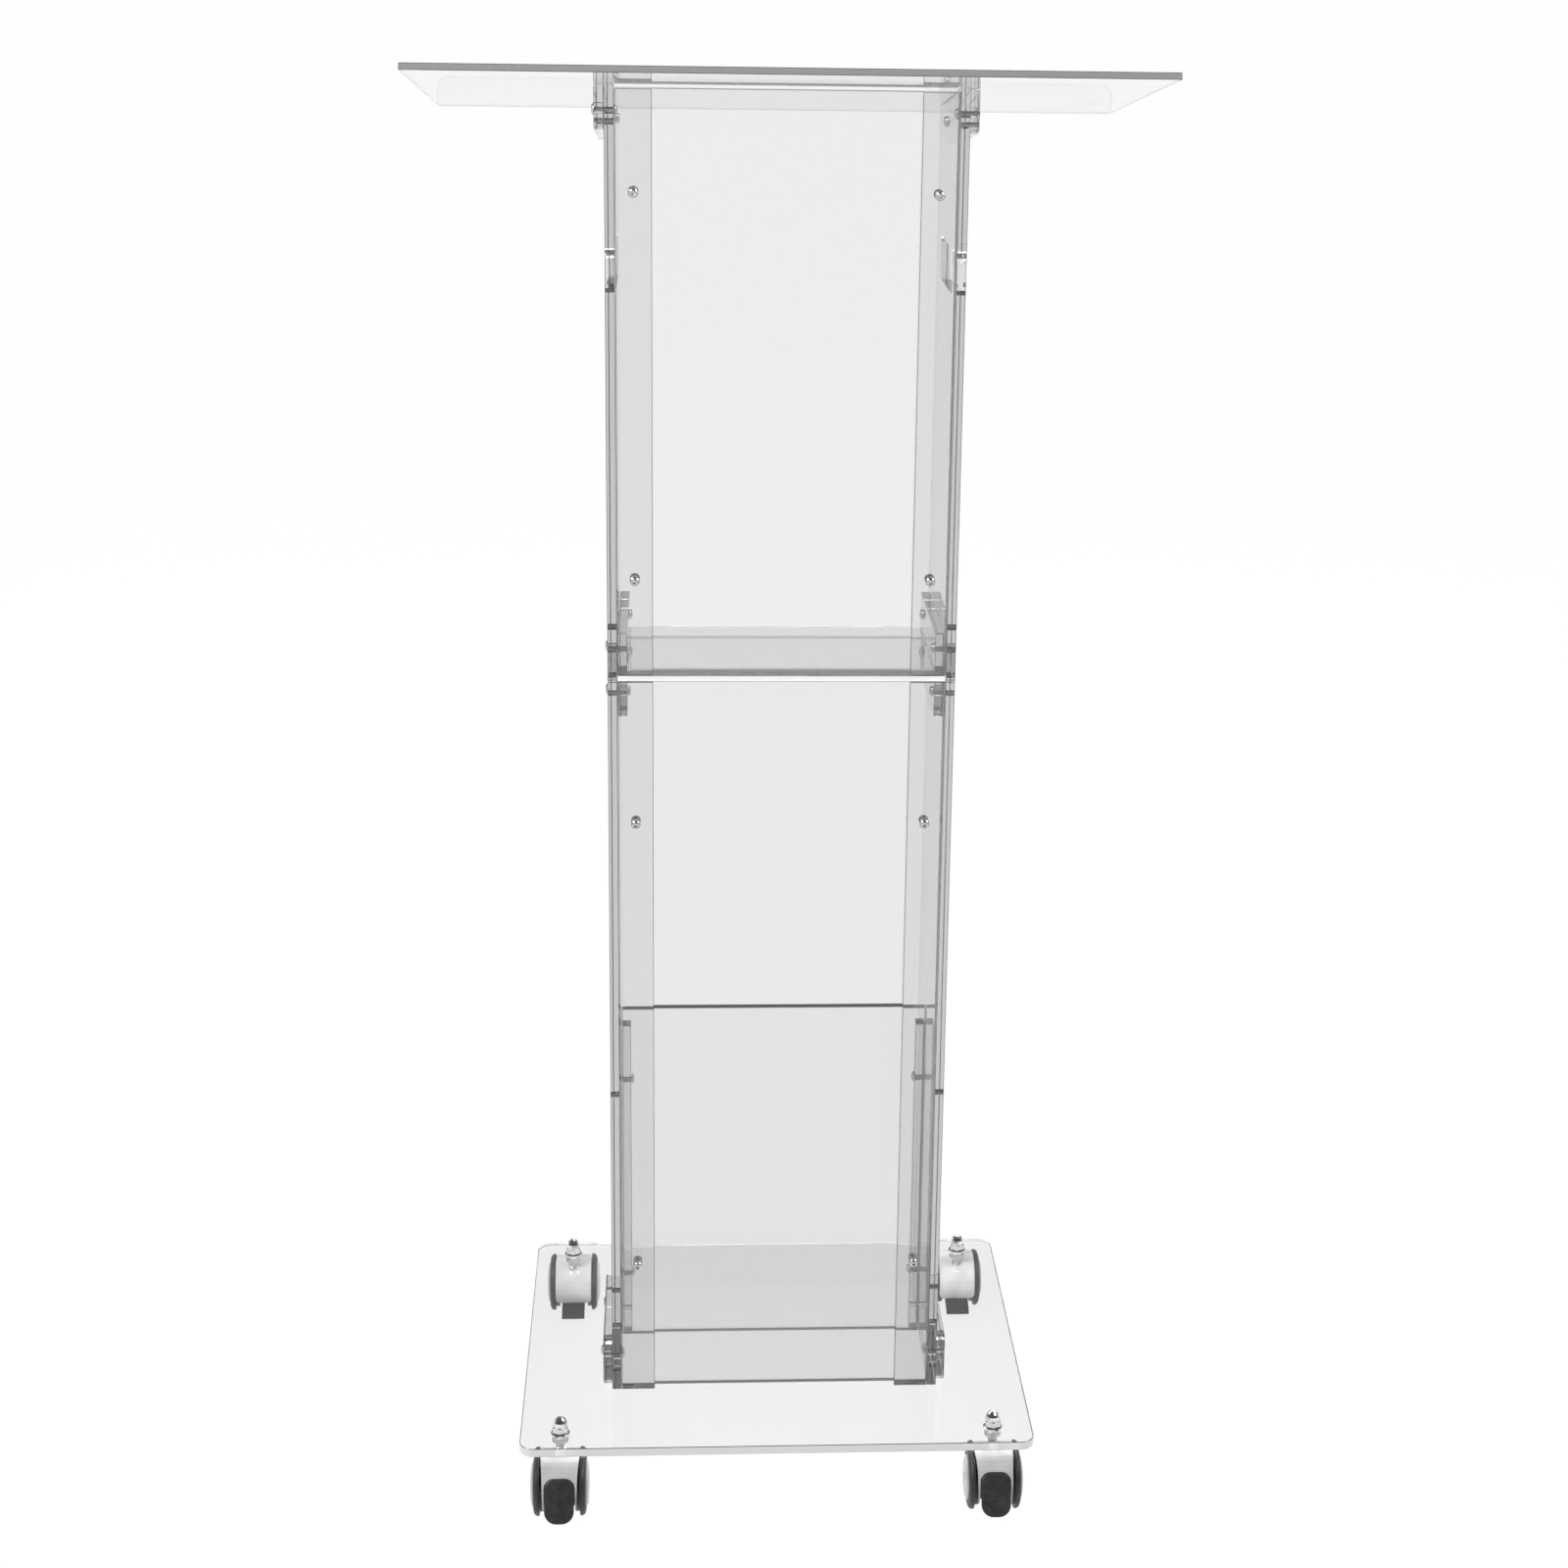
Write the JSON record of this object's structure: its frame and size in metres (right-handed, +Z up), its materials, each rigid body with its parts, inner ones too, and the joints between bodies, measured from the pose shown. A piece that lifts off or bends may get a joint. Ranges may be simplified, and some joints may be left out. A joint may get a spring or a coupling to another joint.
{
  "type": "presentation lectern",
  "caption": "Clear acrylic lectern: open-backed column with a mid shelf and hand slots, a sloping reading plate with a paper stop, and a base plate on braked swivel casters.",
  "frame": {"origin": "centre of the bounding box, on the floor under the casters", "axes": "+Z up, +Y toward the speaker, +X to the right as the audience sees it"},
  "size_m": [0.595, 0.446, 1.2432],
  "materials": {
    "clear_acrylic": "polished clear acrylic sheet",
    "chrome_fastener": "bright chrome plate",
    "bright_steel": "bright zinc-plated steel",
    "black_tread": "moulded black nylon",
    "black_plastic": "moulded black nylon",
    "grey_plastic": "satin light-grey moulding"
  },
  "bodies": {
    "frame": {"base_bracket_left": "clear_acrylic", "base_bracket_right": "clear_acrylic", "base_plate": "clear_acrylic", "caster_front_left_nut": "chrome_fastener", "caster_front_left_stem": "bright_steel", "caster_front_right_nut": "chrome_fastener", "caster_front_right_stem": "bright_steel", "caster_rear_left_nut": "chrome_fastener", "caster_rear_left_stem": "bright_steel", "caster_rear_right_nut": "chrome_fastener", "caster_rear_right_stem": "bright_steel", "cleat_left": "clear_acrylic", "cleat_right": "clear_acrylic", "corner_strip_left_lower": "clear_acrylic", "corner_strip_left_upper": "clear_acrylic", "corner_strip_right_lower": "clear_acrylic", "corner_strip_right_upper": "clear_acrylic", "front_panel_lower": "clear_acrylic", "front_panel_upper": "clear_acrylic", "inner_panel": "clear_acrylic", "mid_shelf": "clear_acrylic", "paper_stop": "clear_acrylic", "reading_plate": "clear_acrylic", "shelf_rib": "clear_acrylic", "side_panel_left_lower": "clear_acrylic", "side_panel_left_upper": "clear_acrylic", "side_panel_right_lower": "clear_acrylic", "side_panel_right_upper": "clear_acrylic", "splice_plate_left": "clear_acrylic", "splice_plate_right": "clear_acrylic", "top_bracket_left": "clear_acrylic", "top_bracket_right": "clear_acrylic"},
    "caster_front_left_swivel": {"caster_front_left_body": "black_plastic", "caster_front_left_cover": "grey_plastic"},
    "caster_front_left_wheels": {"caster_front_left_axle": "bright_steel", "caster_front_left_wheel_left": "black_tread", "caster_front_left_wheel_right": "black_tread"},
    "caster_front_left_pedal": {"caster_front_left_brake_pedal": "black_plastic"},
    "caster_front_right_swivel": {"caster_front_right_body": "black_plastic", "caster_front_right_cover": "grey_plastic"},
    "caster_front_right_wheels": {"caster_front_right_axle": "bright_steel", "caster_front_right_wheel_left": "black_tread", "caster_front_right_wheel_right": "black_tread"},
    "caster_front_right_pedal": {"caster_front_right_brake_pedal": "black_plastic"},
    "caster_rear_left_swivel": {"caster_rear_left_body": "black_plastic", "caster_rear_left_cover": "grey_plastic"},
    "caster_rear_left_wheels": {"caster_rear_left_axle": "bright_steel", "caster_rear_left_wheel_left": "black_tread", "caster_rear_left_wheel_right": "black_tread"},
    "caster_rear_left_pedal": {"caster_rear_left_brake_pedal": "black_plastic"},
    "caster_rear_right_swivel": {"caster_rear_right_body": "black_plastic", "caster_rear_right_cover": "grey_plastic"},
    "caster_rear_right_wheels": {"caster_rear_right_axle": "bright_steel", "caster_rear_right_wheel_left": "black_tread", "caster_rear_right_wheel_right": "black_tread"},
    "caster_rear_right_pedal": {"caster_rear_right_brake_pedal": "black_plastic"}
  },
  "joints": [
    {"name": "caster_front_left_swivel_turn", "type": "hinge", "parent": "frame", "child": "caster_front_left_swivel", "pos_m": [-0.19, -0.171, 0.042], "axis": [0, 0, 1], "continuous": true},
    {"name": "caster_front_left_wheel_roll", "type": "hinge", "parent": "caster_front_left_swivel", "child": "caster_front_left_wheels", "pos_m": [-0.19, -0.184, 0.0275], "axis": [1, 0, 0], "continuous": true},
    {"name": "caster_front_left_pedal_press", "type": "hinge", "parent": "caster_front_left_swivel", "child": "caster_front_left_pedal", "pos_m": [-0.19, -0.2023, 0.0418], "axis": [1, 0, 0], "range_deg": [-6, 20]},
    {"name": "caster_front_right_swivel_turn", "type": "hinge", "parent": "frame", "child": "caster_front_right_swivel", "pos_m": [0.19, -0.171, 0.042], "axis": [0, 0, 1], "continuous": true},
    {"name": "caster_front_right_wheel_roll", "type": "hinge", "parent": "caster_front_right_swivel", "child": "caster_front_right_wheels", "pos_m": [0.19, -0.184, 0.0275], "axis": [1, 0, 0], "continuous": true},
    {"name": "caster_front_right_pedal_press", "type": "hinge", "parent": "caster_front_right_swivel", "child": "caster_front_right_pedal", "pos_m": [0.19, -0.2023, 0.0418], "axis": [1, 0, 0], "range_deg": [-6, 20]},
    {"name": "caster_rear_left_swivel_turn", "type": "hinge", "parent": "frame", "child": "caster_rear_left_swivel", "pos_m": [-0.19, 0.171, 0.042], "axis": [0, 0, 1], "continuous": true},
    {"name": "caster_rear_left_wheel_roll", "type": "hinge", "parent": "caster_rear_left_swivel", "child": "caster_rear_left_wheels", "pos_m": [-0.19, 0.184, 0.0275], "axis": [1, 0, 0], "continuous": true},
    {"name": "caster_rear_left_pedal_press", "type": "hinge", "parent": "caster_rear_left_swivel", "child": "caster_rear_left_pedal", "pos_m": [-0.19, 0.2023, 0.0418], "axis": [-1, 0, 0], "range_deg": [-6, 20]},
    {"name": "caster_rear_right_swivel_turn", "type": "hinge", "parent": "frame", "child": "caster_rear_right_swivel", "pos_m": [0.19, 0.171, 0.042], "axis": [0, 0, 1], "continuous": true},
    {"name": "caster_rear_right_wheel_roll", "type": "hinge", "parent": "caster_rear_right_swivel", "child": "caster_rear_right_wheels", "pos_m": [0.19, 0.184, 0.0275], "axis": [1, 0, 0], "continuous": true},
    {"name": "caster_rear_right_pedal_press", "type": "hinge", "parent": "caster_rear_right_swivel", "child": "caster_rear_right_pedal", "pos_m": [0.19, 0.2023, 0.0418], "axis": [-1, 0, 0], "range_deg": [-6, 20]}
  ]
}
